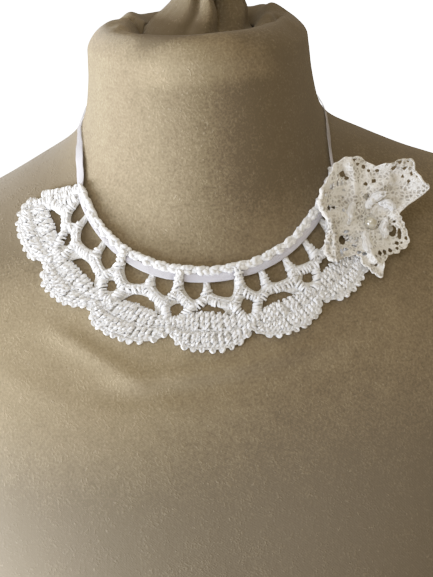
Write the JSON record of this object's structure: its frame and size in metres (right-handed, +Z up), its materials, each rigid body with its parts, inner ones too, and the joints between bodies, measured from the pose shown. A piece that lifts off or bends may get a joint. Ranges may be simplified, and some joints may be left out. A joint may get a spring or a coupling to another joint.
{
  "type": "crochet choker on a limbless dress form",
  "caption": "Crochet choker with a chain band, eyelet mesh, shell edging, threaded satin ribbon and a lace flower with a pearl, laid round the neck of a limbless dress form.",
  "frame": {"origin": "centre of the dress form's flat underside, midway between its fullest points in front and behind and between its shoulders", "axes": "+Z up along the neck, the form faces -Y, and +X is towards the form's own left side, where the rosette sits"},
  "size_m": [0.3686, 0.2391, 0.5575],
  "materials": {
    "jersey": "matt knitted jersey",
    "cotton": "matt crocheted cotton yarn",
    "satin": "satin ribbon",
    "lace": "matt net lace",
    "pearl": "pearly gloss"
  },
  "bodies": {
    "root": {"dress_form": "jersey", "neck_gather": "jersey", "neck_band": "cotton", "eyelet_mesh": "cotton", "shell_1": "cotton", "shell_2": "cotton", "shell_3": "cotton", "shell_4": "cotton", "shell_5": "cotton", "shell_6": "cotton", "shell_7": "cotton", "ribbon_front_left": "satin", "ribbon_front_middle": "satin", "ribbon_front_centre": "satin", "ribbon_front_right": "satin", "ribbon_side_left": "satin", "ribbon_side_right": "satin", "ribbon_knot": "satin", "ribbon_tail_left": "satin", "ribbon_tail_right": "satin", "flower_lace": "lace", "flower_loop_upper_left": "lace", "flower_loop_left": "lace", "flower_loop_lower_left": "lace", "flower_loop_lower": "lace", "flower_loop_right": "lace", "pearl": "pearl"}
  },
  "joints": []
}
